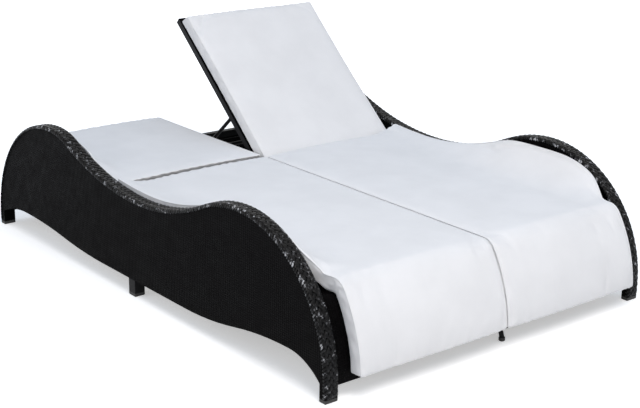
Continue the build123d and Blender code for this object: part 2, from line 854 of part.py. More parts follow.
def cushion_section(side, base, lean, thick, near, far, rise):
    """One closed section; base is a point on the path and lean its outward direction."""
    reach = cushion_edge_r
    curl_from = far - cushion_curl_width
    curl_r = (cushion_curl_width**2 + rise**2) / (2 * rise)
    under_r = curl_r + thick
    edge_in = reach / 2
    under_rise = under_r - sqrt(under_r**2 - (cushion_curl_width - edge_in) ** 2)
    curl_half = asin(min((cushion_curl_width - edge_in) / curl_r, 1)) / 2
    under_half = asin((cushion_curl_width - edge_in) / under_r) / 2
    edge_top = thick + rise
    curl_end = thick + curl_r - sqrt(max(curl_r**2 - (cushion_curl_width - edge_in) ** 2, 0))
    round_off = reach * (1 - cos(pi / 4))

    def spot(across, height):
        return (
            base[0] + lean[0] * height - overall_length / 2,
            side * across,
            base[1] + lean[1] * height,
        )

    corners = [
        (near + reach, 0),
        (curl_from, 0),
        (far - edge_in, under_rise),
        (far, under_rise + edge_in),
        (far, min(curl_end, edge_top) - edge_in),
        (far - edge_in, curl_end),
        (curl_from, thick),
        (near + reach, thick),
        (near, thick - reach),
        (near, reach),
    ]
    off = edge_in * (1 - cos(pi / 4))
    middles = {
        1: (curl_from + under_r * sin(under_half), under_r * (1 - cos(under_half))),
        2: (far - off, under_rise + off),
        4: (far - off, curl_end - off),
        5: (curl_from + curl_r * sin(curl_half), thick + curl_r * (1 - cos(curl_half))),
        6: ((curl_from + near + reach) / 2, thick + cushion_crown),
        7: (near + round_off, thick - round_off),
        9: (near + round_off, round_off),
    }
    edges = []
    for index, corner in enumerate(corners):
        after = corners[(index + 1) % len(corners)]
        if index in middles:
            edges.append(ThreePointArc(spot(*corner), spot(*middles[index]), spot(*after)))
        else:
            edges.append(Line(spot(*corner), spot(*after)))
    return Wire(edges)


def cushion_loft(side, u_from, u_to, sections, far_at, rise_at):
    """The soft body between two places, with a side that pulls in between its ends."""
    base_z = deck_height + cushion_gap
    wires = []
    for index in range(sections):
        share = index / (sections - 1)
        u = u_from + (u_to - u_from) * share
        near = cushion_seam_gap + cushion_draw_in * sin(pi * share)
        far = far_at(u, share)
        wires.append(cushion_section(side, (u, base_z), (0, 1), cushion_body, near, far, rise_at(u)))
    return Solid.make_loft(wires)


def tucked_rise(u):
    """The curled edge of a back cushion is tucked flat before the hinge, clear of the seat."""
    share = min(max((hinge_u - cushion_tuck_end - u) / cushion_tuck_run, 0), 1)
    curl = edge_rise(u) - cushion_curl_least
    return cushion_curl_least + curl * share**2 * (3 - 2 * share)


def end_trim(head_u, head_lean, foot_u, foot_lean):
    """A prism across the object that trims a cushion's ends to leaning planes."""
    base_z = deck_height + cushion_gap
    rises = (cushion_trim_lift, head_crest)
    head_line = [(head_u + head_lean * rise, base_z + rise) for rise in rises]
    foot_line = [(foot_u + foot_lean * rise, base_z + rise) for rise in reversed(rises)]
    outline = head_line + foot_line
    return slab(make_face(Polyline(*outline, close=True)), -half_width, half_width)


def knee_corner():
    """Centre of the small round where the seat cushion leaves the deck, and its end angle."""
    centre_z = deck_height + cushion_gap - cushion_corner_r
    reach = knee_round_r + cushion_gap - cushion_corner_r
    angle = asin((centre_z - knee_round_base) / reach)
    return (knee_u + reach * cos(angle), centre_z), angle


def across_axis(u, z):
    return Axis((u - overall_length / 2, 0, z), (0, 1, 0))


def seat_front(side):
    """The part of the seat cushion that turns over the knee and hangs down in front."""
    (start_u, start_z), knee_angle = knee_corner()
    low_angle = hang_low_angle
    tip_angle = asin((cushion_front_low - knee_round_base) / knee_round_r)
    turn, hang = degrees(pi / 2 - knee_angle), degrees(knee_angle - low_angle)
    section = cushion_section(
        side,
        (start_u, start_z + cushion_corner_r),
        (0, 1),
        cushion_body,
        cushion_seam_gap,
        cushion_front_width,
        cushion_curl_least,
    )
    roll = revolve(Face(section), across_axis(start_u, start_z), turn)
    hung_face = Face(section).rotate(across_axis(start_u, start_z), turn)
    sheet = revolve(hung_face, across_axis(knee_u, knee_round_base), hang)
    tip = []
    for angle, inset in ((low_angle, 0), (tip_angle, cushion_end_round)):
        radius = knee_round_r + cushion_gap + inset
        base = (knee_u + radius * cos(angle), knee_round_base + radius * sin(angle))
        tip.append(
            cushion_section(
                side,
                base,
                (cos(angle), sin(angle)),
                cushion_body - 2 * inset,
                cushion_seam_gap + inset,
                cushion_front_width - inset,
                cushion_curl_least,
            )
        )
    return roll + sheet + Solid.make_loft(tip), start_u


def seat_cushion(side):
    turn = radians(backrest_max_angle)
    crown_top = cushion_top + cushion_crown
    foot_lean = back_cushion_foot_lean / cushion_thick
    corner_ahead = foot_lean * (crown_top - cushion_base) - back_cushion_foot_inset
    swept = hypot(corner_ahead, crown_top) + seat_cushion_gap
    start_top = swept / sin(turn) - cushion_top / tan(turn)
    start_base = start_top + cushion_thick / tan(turn)
    start_u = hinge_u + start_top
    far = inner_half - cushion_side_gap
    front, corner_u = seat_front(side)

    def far_at(u, share):
        return cushion_front_width if share == 1 else far

    deck = cushion_loft(side, start_u, corner_u, seat_section_count, far_at, edge_rise)
    lean = (start_top - start_base) / cushion_thick
    trimmed = deck & end_trim(hinge_u + start_base, lean, panel_length, 0)
    return trimmed + front


def back_cushion(side, curled):
    near, far = back_edges(side)
    head_u, foot_u = hinge_u - back_cushion_length, hinge_u - back_cushion_foot_inset
    head_lean = back_cushion_head_lean / cushion_thick
    foot_lean = back_cushion_foot_lean / cushion_thick

    def far_at(u, share):
        if curled:
            return inner_half - cushion_side_gap
        return abs(far) - cushion_draw_in * sin(pi * share)

    def rise_at(u):
        return tucked_rise(u) if curled else cushion_curl_least

    reach = foot_u + back_cushion_foot_lean + cushion_edge_r
    body = cushion_loft(side, head_u, reach, back_section_count, far_at, rise_at)
    return body & end_trim(head_u, head_lean, foot_u, foot_lean)


# Everything is written out, one file for each node

def write_side(side, name):
    holes = bolt_holes(side)
    save(name + "_top_rail", top_rail(side, holes))
    save(name + "_bottom_rail", bottom_rail(side))
    save(name + "_uprights", *uprights(side, holes))
    save(name + "_mid_leg", mid_leg(side))
    save(name + "_outer_weave", outer_weave(side))
    save(name + "_inner_weave", inner_weave(side, holes))
    save(name + "_rim_wrap", rim_wrap(side))
    save(name + "_seat_side_rail", seat_side_rail(side))
    save(name + "_seat_weave", seat_weave(side))
    save(name + "_seat_cushion", seat_cushion(side))
    save(name + "_prop_racks", *racks(side))


def write_back(side, name, angle, curled):
    head_tube_at = back_length - back_tube_width / 2
    foot_tube_at = back_foot_tube_at + back_tube_width / 2
    pieces = {
        "_back_inner_tube": [back_side_tube(side, False)],
        "_back_outer_tube": [back_side_tube(side, True)],
        "_back_head_tube": [back_cross_tube(side, head_tube_at, back_tube_width)],
        "_back_foot_tube": [back_cross_tube(side, foot_tube_at, back_tube_width)],
        "_back_prop_tube": back_prop_tube(side),
        "_back_weave": [back_weave(side)],
        "_back_cushion": [back_cushion(side, curled)],
        "_prop_bolts": prop_bolts(side),
    }
    for ending, solids in pieces.items():
        save(name + ending, *[raise_back(solid, angle) for solid in solids])
    save(name + "_prop_arms", *[place_prop(solid, angle) for solid in prop_arms(side)])
    save(name + "_prop_bar", place_prop(prop_bar(side), angle))


for rail_name in cross_rails:
    save(rail_name, *cross_rail(rail_name))
for side_sign, side_name in ((left, "left"), (right, "right")):
    write_side(side_sign, side_name)
write_back(left, "left", 0, True)
write_back(right, "right", right_backrest_angle, False)

head_foot_u, tail_foot_u = centre_leg_feet()
support_rail_low = support_rail_top - cross_size
foot_leg_top_u = tail_foot_u - centre_leg_splay
save("centre_head_leg", centre_leg(support_rail_inset, support_rail_low, head_foot_u))
save("centre_foot_leg", centre_leg(foot_leg_top_u, frame_rail_low, tail_foot_u))
save("leg_caps", *leg_caps())
save("seat_centre_rail", seat_centre_rail())
save("head_apron_weave", head_apron())
save("foot_apron_weave", foot_apron())
save("hinge_lugs", *hinge_lugs())
save("hinge_bolts", *hinge_bolts())
save("frame_bolts", *frame_bolts())
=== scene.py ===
import math
import random

import bpy
import bmesh
import numpy as np
from mathutils import Matrix, Vector

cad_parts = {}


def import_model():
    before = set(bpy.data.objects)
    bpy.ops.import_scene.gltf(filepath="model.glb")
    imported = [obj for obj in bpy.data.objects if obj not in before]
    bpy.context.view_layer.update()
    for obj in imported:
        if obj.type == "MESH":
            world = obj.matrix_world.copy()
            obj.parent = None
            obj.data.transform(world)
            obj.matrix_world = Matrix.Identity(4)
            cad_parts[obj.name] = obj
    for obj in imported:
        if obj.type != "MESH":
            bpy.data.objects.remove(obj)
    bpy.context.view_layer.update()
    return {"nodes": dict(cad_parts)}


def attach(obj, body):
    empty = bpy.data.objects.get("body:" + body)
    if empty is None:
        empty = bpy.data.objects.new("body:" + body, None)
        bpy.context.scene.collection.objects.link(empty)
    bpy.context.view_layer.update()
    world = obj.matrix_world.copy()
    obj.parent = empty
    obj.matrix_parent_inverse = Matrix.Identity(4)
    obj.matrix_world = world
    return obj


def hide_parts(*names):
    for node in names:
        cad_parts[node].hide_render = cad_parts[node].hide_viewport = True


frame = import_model()
MM = 0.001

# Sizes of the object, in millimetres, as the solids have them. u runs from the head end of
# the panels to their foot end, y from left to right, z up from the ground.
PANEL = 2000.0
HALF_W = 675.0
THICK = 45.0
IN_HALF = HALF_W - THICK
HEAD_R = 430.0
HEAD_Z = 36.0
CREST_R = 300.0
DIP_U = 1010.0
DIP_Z = 344.0
DIP_R = 900.0
KNEE_R = 415.0
KNEE_Z = 56.0
KNEE_U = PANEL - KNEE_R
CREST = HEAD_Z + HEAD_R
KNEE_CREST = KNEE_Z + KNEE_R
DECK = 291.0
HINGE = (763.0, 276.5)

# Tilt of the right backrest as it stands, and the furthest tilt of a backrest
RAISED = math.radians(41.6)
MAX_TILT = math.radians(55.0)

# The cushions' sizes in the solids: thickness, gap over the deck, crown, rounding of the edges
# and the height of the front edge that hangs down over the knee
PAD = 50.0
PAD_GAP = 0.6
PAD_CROWN = 4.0
PAD_EDGE_R = 12.0
FRONT_LOW = 75.0
FRONT_ANGLE = math.asin((FRONT_LOW + PAD_EDGE_R - KNEE_Z) / KNEE_R)
FRONT_REACH = KNEE_R + PAD + PAD_CROWN

# Half the overall length; the frame's origin lies in the middle
HALF_L = (PANEL + FRONT_REACH * math.cos(FRONT_ANGLE) - KNEE_R) / 2


def blend_sum(run, drop):
    """Sum of the radii of two arcs that blend over a run and a drop, level at both ends."""
    return (run**2 + drop**2) / (2 * drop)


# The four arcs between the round head end and the round knee
DIP_HEAD_R = blend_sum(DIP_U - HEAD_R, CREST - DIP_Z) - CREST_R
KNEE_CREST_R = blend_sum(KNEE_U - DIP_U, KNEE_CREST - DIP_Z) - DIP_R
CREST_C = (HEAD_R, CREST - CREST_R)
DIP_C = (DIP_U, DIP_Z + DIP_HEAD_R)
FOOT_C = (DIP_U, DIP_Z + DIP_R)
KNEE_C = (KNEE_U, KNEE_CREST - KNEE_CREST_R)


def aim(angle):
    """The direction of an angle, as a point one unit away."""
    return math.cos(angle), math.sin(angle)


def on_arc(centre, radius, angle):
    """The point of a circle at an angle."""
    return centre[0] + radius * math.cos(angle), centre[1] + radius * math.sin(angle)


def bearing(start, end):
    """The angle at which end lies, seen from start."""
    return math.atan2(end[1] - start[1], end[0] - start[0])


def turned(u, z, angle):
    """A point of a backrest that lies flat, turned about the hinge."""
    du, dz = u - HINGE[0], z - HINGE[1]
    c, s = math.cos(angle), math.sin(angle)
    return HINGE[0] + du * c + dz * s, HINGE[1] - du * s + dz * c


def world(u, y, z):
    """From the sizes' millimetres to the frame's metres."""
    return ((u - HALF_L) * MM, y * MM, z * MM)


def eased(share):
    """A share held between 0 and 1, with a soft start and a soft end."""
    share = min(max(share, 0), 1)
    return share * share * (3 - 2 * share)


# Meshes


def new_object(name, verts, faces, material):
    """A smooth mesh with its normals outwards."""
    mesh = bpy.data.meshes.new(name)
    mesh.from_pydata([tuple(v) for v in verts], [], [tuple(f) for f in faces])
    mesh.validate()
    bm = bmesh.new()
    bm.from_mesh(mesh)
    bmesh.ops.recalc_face_normals(bm, faces=bm.faces)
    bm.to_mesh(mesh)
    bm.free()
    mesh.polygons.foreach_set("use_smooth", [True] * len(mesh.polygons))
    mesh.update()
    obj = bpy.data.objects.new(name, mesh)
    bpy.context.scene.collection.objects.link(obj)
    mesh.materials.append(material)
    return obj


# Node materials


def new_material(name):
    """An empty material with its tree and its surface node."""
    mat = bpy.data.materials.new(name)
    mat.use_nodes = True
    tree = mat.node_tree
    tree.nodes.clear()
    out = tree.nodes.new("ShaderNodeOutputMaterial")
    bsdf = tree.nodes.new("ShaderNodeBsdfPrincipled")
    tree.links.new(bsdf.outputs["BSDF"], out.inputs["Surface"])
    return mat, tree, bsdf


class Net:
    """Small helper that writes node sums."""

    def __init__(self, tree):
        self.tree = tree

    def node(self, kind, **values):
        n = self.tree.nodes.new(kind)
        for key, value in values.items():
            setattr(n, key, value)
        return n

    def put(self, socket, value):
        if isinstance(value, (int, float, tuple)):
            socket.default_value = value
        else:
            self.tree.links.new(value, socket)

    def math(self, operation, a, b=None, c=None):
        n = self.node("ShaderNodeMath", operation=operation)
        for i, value in enumerate((a, b, c)):
            if value is not None:
                self.put(n.inputs[i], value)
        return n.outputs[0]

    def coords(self):
        return self.node("ShaderNodeTexCoord").outputs["Object"]

    def split(self, vector):
        n = self.node("ShaderNodeSeparateXYZ")
        self.put(n.inputs[0], vector)
        return n.outputs

    def noise(self, vector, scale, detail=3.0, rough=0.5):
        n = self.node("ShaderNodeTexNoise")
        self.put(n.inputs["Vector"], vector)
        n.inputs["Scale"].default_value = scale
        n.inputs["Detail"].default_value = detail
        n.inputs["Roughness"].default_value = rough
        return n.outputs["Fac"]

    def ramp(self, value, stops):
        n = self.node("ShaderNodeValToRGB")
        self.put(n.inputs["Fac"], value)
        ramp = n.color_ramp
        while len(ramp.elements) < len(stops):
            ramp.elements.new(0.5)
        for element, (at, colour) in zip(ramp.elements, stops):
            element.position = at
            element.color = (*colour, 1)
        return n.outputs["Color"]

    def mapped(self, value, from_low, from_high, to_low, to_high):
        n = self.node("ShaderNodeMapRange")
        self.put(n.inputs["Value"], value)
        n.inputs["From Min"].default_value = from_low
        n.inputs["From Max"].default_value = from_high
        n.inputs["To Min"].default_value = to_low
        n.inputs["To Max"].default_value = to_high
        return n.outputs["Result"]

    def mix(self, factor, a, b):
        n = self.node("ShaderNodeMix", data_type="RGBA")
        self.put(n.inputs["Factor"], factor)
        self.put(n.inputs["A"], a)
        self.put(n.inputs["B"], b)
        return n.outputs["Result"]

    def bump(self, height, strength, distance, normal=None):
        n = self.node("ShaderNodeBump")
        n.inputs["Strength"].default_value = strength
        n.inputs["Distance"].default_value = distance
        self.put(n.inputs["Height"], height)
        if normal is not None:
            self.put(n.inputs["Normal"], normal)
        return n.outputs["Normal"]

    def seen(self):
        """1 for the rays that look at the surface itself, 0 for those that only light by it."""
        path = self.node("ShaderNodeLightPath")
        look = self.math("MAXIMUM", path.outputs["Is Camera Ray"], path.outputs["Is Glossy Ray"])
        return self.math("MAXIMUM", look, path.outputs["Is Transmission Ray"])


# Distance in metres from one strand of the weave to the next, along and across a sheet
WEAVE_ALONG = 0.0095
WEAVE_ACROSS = 0.0075


def rattan(name, along, across):
    """Flat black strands woven over and under; along and across name the two axes of the sheet."""
    mat, tree, bsdf = new_material(name)
    net = Net(tree)
    place = net.coords()
    axes = dict(zip("xyz", net.split(place)))
    wander = net.noise(place, 9.0, 2.0)
    a = net.math("DIVIDE", axes[along], WEAVE_ALONG)
    a = net.math("ADD", a, net.math("MULTIPLY", wander, 0.5))
    b = net.math("DIVIDE", axes[across], WEAVE_ACROSS)
    b = net.math("ADD", b, net.math("MULTIPLY", wander, 0.4))
    cell = net.math("ADD", net.math("FLOOR", a), net.math("FLOOR", b))
    odd = net.math("FLOORED_MODULO", cell, 2.0)
    fa, fb = net.math("FRACT", a), net.math("FRACT", b)

    def dome(f):
        half = net.math("SUBTRACT", net.math("MULTIPLY", f, 2.0), 1.0)
        return net.math("SUBTRACT", 1.0, net.math("POWER", net.math("ABSOLUTE", half), 4.0))

    def arch(f):
        return net.math("SINE", net.math("MULTIPLY", f, math.pi))

    upright = net.math("MULTIPLY", dome(fa), net.math("MULTIPLY_ADD", arch(fb), 0.6, 0.4))
    level = net.math("MULTIPLY", dome(fb), net.math("MULTIPLY_ADD", arch(fa), 0.6, 0.4))
    weave = net.math(
        "ADD",
        net.math("MULTIPLY", upright, odd),
        net.math("MULTIPLY", level, net.math("SUBTRACT", 1.0, odd)),
    )
    grain = net.noise(place, 900.0, 2.0)
    height = net.math("ADD", weave, net.math("MULTIPLY", grain, 0.12))
    net.put(bsdf.inputs["Normal"], net.bump(height, 0.8, 0.0016))
    shade = net.noise(place, 26.0, 4.0, 0.6)
    tone = net.ramp(shade, [(0.3, (0.0011, 0.0010, 0.0011)), (0.7, (0.0032, 0.0028, 0.0030))])
    # Painted shade: the colour goes darker still in the low parts of the weave, the hollows between the
    # strands where shade would fall
    painted_gap_shade = net.mix(net.mapped(weave, 0.05, 0.5, 0.0, 1.0), (0.0006, 0.0006, 0.0006, 1), tone)
    net.put(bsdf.inputs["Base Color"], painted_gap_shade)
    net.put(bsdf.inputs["Roughness"], net.mapped(shade, 0.3, 0.7, 0.42, 0.6))
    bsdf.inputs["Specular IOR Level"].default_value = 0.02
    return mat


def strand_material(name, wear_and_glints):
    """Glossy strand whose colour carries light flecks painted in as glints; the second argument lowers the
    noise level at which they start.
    """
    mat, tree, bsdf = new_material(name)
    net = Net(tree)
    place = net.coords()
    shade = net.noise(place, 60.0, 4.0, 0.6)
    streak = net.noise(place, 500.0, 3.0)
    # Dark tones that differ at random, and at the top of the noise pale grey flecks painted in as glints
    tone_and_glint_stops = [
        (0.35, (0.0012, 0.0012, 0.0014)),
        (0.57 - wear_and_glints, (0.003, 0.003, 0.0034)),
        (0.63 - wear_and_glints, (0.04, 0.04, 0.042)),
        (0.70 - wear_and_glints, (0.40, 0.40, 0.41)),
    ]
    net.put(bsdf.inputs["Base Color"], net.ramp(shade, tone_and_glint_stops))
    net.put(bsdf.inputs["Roughness"], net.mapped(streak, 0.3, 0.7, 0.24, 0.42))
    net.put(bsdf.inputs["Normal"], net.bump(streak, 0.5, 0.0006))
    bsdf.inputs["Specular IOR Level"].default_value = 0.14
    return mat


def steel_material():
    mat, tree, bsdf = new_material("powder_coat")
    net = Net(tree)
    place = net.coords()
    peel = net.noise(place, 1400.0, 2.0)
    wear_and_glints = net.noise(place, 18.0, 5.0, 0.7)
    net.put(
        bsdf.inputs["Base Color"],
        net.ramp(wear_and_glints, [(0.3, (0.004, 0.004, 0.0045)), (0.75, (0.011, 0.011, 0.012))]),
    )
    net.put(bsdf.inputs["Roughness"], net.mapped(wear_and_glints, 0.3, 0.7, 0.38, 0.52))
    net.put(bsdf.inputs["Normal"], net.bump(peel, 0.25, 0.0003))
    bsdf.inputs["Specular IOR Level"].default_value = 0.1
    return mat


def cap_material():
    mat, tree, bsdf = new_material("moulded_foot")
    net = Net(tree)
    place = net.coords()
    grain = net.noise(place, 700.0, 3.0)
    scuff = net.noise(place, 45.0, 5.0, 0.7)
    net.put(
        bsdf.inputs["Base Color"],
        net.ramp(scuff, [(0.35, (0.012, 0.012, 0.012)), (0.8, (0.035, 0.034, 0.033))]),
    )
    net.put(bsdf.inputs["Roughness"], net.mapped(scuff, 0.3, 0.8, 0.5, 0.75))
    net.put(bsdf.inputs["Normal"], net.bump(grain, 0.3, 0.0004))
    return mat


def bolt_material():
    mat, tree, bsdf = new_material("zinc_bolt")
    net = Net(tree)
    place = net.coords()
    spots = net.noise(place, 300.0, 4.0, 0.7)
    net.put(
        bsdf.inputs["Base Color"],
        net.ramp(spots, [(0.3, (0.32, 0.32, 0.33)), (0.7, (0.52, 0.52, 0.53))]),
    )
    net.put(bsdf.inputs["Roughness"], net.mapped(spots, 0.3, 0.7, 0.28, 0.45))
    net.put(bsdf.inputs["Normal"], net.bump(spots, 0.15, 0.0003))
    bsdf.inputs["Metallic"].default_value = 1.0
    return mat


# Distance in metres from thread to thread, and the cover's colour
THREAD_PITCH = 0.0011
COVER = (0.80, 0.79, 0.785)


def fabric_material(name):
    """Plain woven outdoor cover: fine threads, faint clouds of tone and soft sheen."""
    mat, tree, bsdf = new_material(name)
    net = Net(tree)
    place = net.coords()
    threads = 0.0
    for axis in net.split(place):
        wave = net.math("SINE", net.math("MULTIPLY", axis, 2 * math.pi / THREAD_PITCH))
        threads = net.math("ADD", threads, net.math("ABSOLUTE", wave))
    slub = net.noise(place, 220.0, 3.0)
    cloud = net.noise(place, 7.0, 4.0, 0.55)
    height = net.math("ADD", net.math("MULTIPLY", threads, 0.35), slub)
    soft = net.bump(net.noise(place, 16.0, 3.0, 0.5), 0.18, 0.006)
    net.put(bsdf.inputs["Normal"], net.bump(height, 0.22, 0.0005, soft))
    low = tuple(c * 0.975 for c in COVER)
    high = tuple(min(c * 1.02, 0.9) for c in COVER)
    base = net.ramp(cloud, [(0.35, low), (0.65, high)])
    net.put(bsdf.inputs["Base Color"], base)
    net.put(bsdf.inputs["Roughness"], net.mapped(slub, 0.3, 0.7, 0.86, 0.96))
    bsdf.inputs["Sheen Weight"].default_value = 0.08
    bsdf.inputs["Sheen Roughness"].default_value = 0.5
    bsdf.inputs["Specular IOR Level"].default_value = 0.2
    return mat


SKIN = rattan("rattan_side", "x", "z")
APRON = rattan("rattan_end", "y", "z")
MAT = rattan("rattan_deck", "x", "y")
STRAND = strand_material("rattan_strand", 0.0)
# The loops' strands take more painted glints than the plait's, a dotted painted highlight along the
# panels' edges
LOOP = strand_material("rattan_loop", 0.07)
STEEL = steel_material()
CAP = cap_material()
BOLT = bolt_material()
FABRIC = fabric_material("cover_fabric")


def dress(node, material):
    """Gives the material to a node of the frame."""
    obj = frame["nodes"][node]
    if not obj.data.materials:
        obj.data.materials.append(material)
    for place in obj.material_slots:
        place.material = material


for node in frame["nodes"]:
    if node.endswith("_cushion"):
        continue
    if node in ("head_apron_weave", "foot_apron_weave"):
        dress(node, APRON)
    elif node.endswith("outer_weave") or node.endswith("inner_weave"):
        dress(node, SKIN)
    elif node.endswith("_rim_wrap"):
        dress(node, APRON)
    elif node.endswith("_weave"):
        dress(node, MAT)
    elif node == "leg_caps":
        dress(node, CAP)
    elif "bolts" in node:
        dress(node, BOLT)
    else:
        dress(node, STEEL)


# The rim of the side panels: a flat plait over the top and loops along both its edges

# Height above the ground at which the plait and the loops start and end
RIM_FOOT = 14.0


def rim_path(step):
    """Points, outward normals and running length along the top edge, leg to leg."""
    crest_to_dip = bearing(CREST_C, DIP_C)
    foot_to_knee = bearing(KNEE_C, FOOT_C)
    arcs = [
        ((HEAD_R, HEAD_Z), HEAD_R, math.pi, math.pi / 2, 1),
        (CREST_C, CREST_R, math.pi / 2, crest_to_dip, 1),
        (DIP_C, DIP_HEAD_R, crest_to_dip - math.pi, -math.pi / 2, -1),
        (FOOT_C, DIP_R, -math.pi / 2, foot_to_knee - math.pi, -1),
        (KNEE_C, KNEE_CREST_R, foot_to_knee, math.pi / 2, 1),
        ((KNEE_U, KNEE_Z), KNEE_R, math.pi / 2, 0, 1),
    ]
    points, normals = [], []
    for z in np.arange(RIM_FOOT, HEAD_Z, step):
        points.append((0, z))
        normals.append((-1, 0))
    for centre, radius, start, end, sign in arcs:
        count = max(int(abs(end - start) * radius / step), 2)
        for t in np.linspace(start, end, count, endpoint=False):
            points.append(on_arc(centre, radius, t))
            normals.append((sign * math.cos(t), sign * math.sin(t)))
    for z in np.arange(KNEE_Z, RIM_FOOT, -step):
        points.append((PANEL, z))
        normals.append((1, 0))
    points, normals = np.array(points), np.array(normals)
    length = np.concatenate([[0], np.cumsum(np.hypot(*np.diff(points, axis=0).T))])
    return points, normals, length


# A ribbon's section: facets of its domed top, how far the dome falls to the edges as a share
# of the thickness, and the width and depth of its underside as shares of width and thickness
RIBBON_SIDES = 4
DOME_FALL = 0.75
UNDER_WIDTH = 0.9
UNDER_DEPTH = 0.3


def ribbon(centres, ups, width, thick):
    """A flat domed strand along centres; ups are the outward directions."""
    centres, ups = np.asarray(centres), np.asarray(ups)
    tangents = np.gradient(centres, axis=0)
    tangents /= np.linalg.norm(tangents, axis=1)[:, None]
    across = np.cross(tangents, ups)
    across /= np.linalg.norm(across, axis=1)[:, None]
    ups = np.cross(across, tangents)
    profile = []
    for k in range(RIBBON_SIDES + 1):
        x = -1 + 2 * k / RIBBON_SIDES
        profile.append((x * width / 2, thick * (1 - DOME_FALL * x * x)))
    for x in (1, -1):
        profile.append((x * width / 2 * UNDER_WIDTH, -thick * UNDER_DEPTH))
    count = len(profile)
    verts = []
    for c, a, u in zip(centres, across, ups):
        for x, h in profile:
            verts.append(c + a * x + u * h)
    faces = []
    for i in range(len(centres) - 1):
        for k in range(count):
            j = (k + 1) % count
            faces.append((i * count + k, i * count + j, (i + 1) * count + j, (i + 1) * count + k))
    faces.append(tuple(range(count))[::-1])
    last = (len(centres) - 1) * count
    faces.append(tuple(last + k for k in range(count)))
    return verts, faces


def joined(parts):
    """One list of points and one of faces from several."""
    verts, faces = [], []
    for v, f in parts:
        start = len(verts)
        verts += list(v)
        faces += [tuple(start + i for i in face) for face in f]
    return verts, faces


# The plait: strands that swing from side to side and pass over and under one another
PLAIT_STEP = 3.0
PLAIT_STRANDS = 5
PLAIT_PERIOD = 112.0
PLAIT_REACH = 15.5
PLAIT_HEIGHT = 1.9
PLAIT_LIFT = 1.5
PLAIT_WIDTH = 11.5
PLAIT_THICK = 1.1


def plait(side, name):
    """Flat strands plaited along the top of one side panel."""
    points, normals, length = rim_path(PLAIT_STEP)
    middle = side * (HALF_W - THICK / 2)
    parts = []
    for k in range(PLAIT_STRANDS):
        angle = 2 * np.pi * (length / PLAIT_PERIOD + k / PLAIT_STRANDS)
        height = PLAIT_HEIGHT + PLAIT_LIFT * np.sin((PLAIT_STRANDS - 1) * angle)
        centres = np.stack(
            [
                points[:, 0] - HALF_L + normals[:, 0] * height,
                middle + PLAIT_REACH * np.sin(angle),
                points[:, 1] + normals[:, 1] * height,
            ],
            axis=1,
        )
        ups = np.stack([normals[:, 0], np.zeros(len(points)), normals[:, 1]], axis=1)
        parts.append(ribbon(centres * MM, ups, PLAIT_WIDTH * MM, PLAIT_THICK * MM))
    verts, faces = joined(parts)
    return new_object(name, verts, faces, STRAND)


# The loops: how far apart they stand, where the first and the last one are, the angle that
# each turns over the edge, its roundings, its slant along the rim and its strand
LOOP_STEP = 2.0
LOOP_PITCH = 10.5
LOOP_FIRST = 8.0
LOOP_LAST = 6.0
LOOP_SEED = 7
LOOP_POINTS = 9
LOOP_TURN = math.pi / 2 * 1.15
LOOP_START = -0.12
LOOP_HEIGHT = 2.2
LOOP_DROP = 8.5
LOOP_OUT = 2.6
LOOP_BACK = 6.3
LOOP_SLANT = 1.6
LOOP_SKEW = 1.0
LOOP_WIDTH = 6.5
LOOP_THICK = 1.0


def one_loop(point, normal, edge, outward, skew):
    """A short strand over an edge: from the top of the rim, outwards and down."""
    ahead = np.array([normal[1], -normal[0]])
    centres, ups = [], []
    for k in range(LOOP_POINTS):
        a = k / (LOOP_POINTS - 1) * LOOP_TURN + LOOP_START
        down = LOOP_DROP * (1 - math.cos(a)) if a > 0 else 0
        back = LOOP_BACK * (1 - math.sin(max(a, 0)))
        along = (k - LOOP_POINTS // 2) * LOOP_SLANT + skew
        u, z = point + normal * (LOOP_HEIGHT - down) + ahead * along
        y = edge + outward * (LOOP_OUT * math.sin(a) - back)
        centres.append(world(u, y, z))
        ups.append((normal[0] * math.cos(a), outward * math.sin(a), normal[1] * math.cos(a)))
    return ribbon(centres, ups, LOOP_WIDTH * MM, LOOP_THICK * MM)


def edge_loops(side, name):
    """Short strands that come over the panel's two edges, one beside the other."""
    points, normals, length = rim_path(LOOP_STEP)
    parts = []
    rng = random.Random(LOOP_SEED)
    for edge, outward in ((side * HALF_W, side), (side * IN_HALF, -side)):
        at = LOOP_FIRST
        while at < length[-1] - LOOP_LAST:
            i = int(np.searchsorted(length, at))
            skew = rng.uniform(-LOOP_SKEW, LOOP_SKEW)
            parts.append(one_loop(points[i], normals[i], edge, outward, skew))
            at += LOOP_PITCH
    verts, faces = joined(parts)
    return new_object(name, verts, faces, LOOP)


for sign, side in ((-1, "left"), (1, "right")):
    for make, ending in ((plait, "rim_plait"), (edge_loops, "edge_loops")):
        piece = make(sign, side + "_" + ending)
        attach(piece, "frame")


# The cushions: rings of points from end to end, sewn into one closed skin


def arc_points(p, m, q, count):
    """Points on the circle through p, m and q, from p up to but without q."""
    (ax, ay), (bx, by), (cx, cy) = p, m, q
    d = 2 * (ax * (by - cy) + bx * (cy - ay) + cx * (ay - by))
    if abs(d) < 1e-9:
        return [(ax + (cx - ax) * k / count, ay + (cy - ay) * k / count) for k in range(count)]
    a2, b2, c2 = ax * ax + ay * ay, bx * bx + by * by, cx * cx + cy * cy
    ux = (a2 * (by - cy) + b2 * (cy - ay) + c2 * (ay - by)) / d
    uy = (a2 * (cx - bx) + b2 * (ax - cx) + c2 * (bx - ax)) / d
    centre = (ux, uy)
    radius = math.hypot(ax - ux, ay - uy)
    first, middle, last = bearing(centre, p), bearing(centre, m), bearing(centre, q)
    span = (last - first) % (2 * math.pi)
    if (middle - first) % (2 * math.pi) > span:
        span -= 2 * math.pi
    return [on_arc(centre, radius, first + span * k / count) for k in range(count)]


def resample(points, count, bias=0.0):
    """As many points at even steps along a line; bias draws them towards its ends."""
    points = np.array(points)
    run = np.concatenate([[0], np.cumsum(np.hypot(*np.diff(points, axis=0).T))])
    t = np.linspace(0, 1, count)
    t = t - bias * np.sin(2 * np.pi * t) / (2 * np.pi)
    return np.stack([np.interp(t * run[-1], run, points[:, i]) for i in (0, 1)], axis=1)


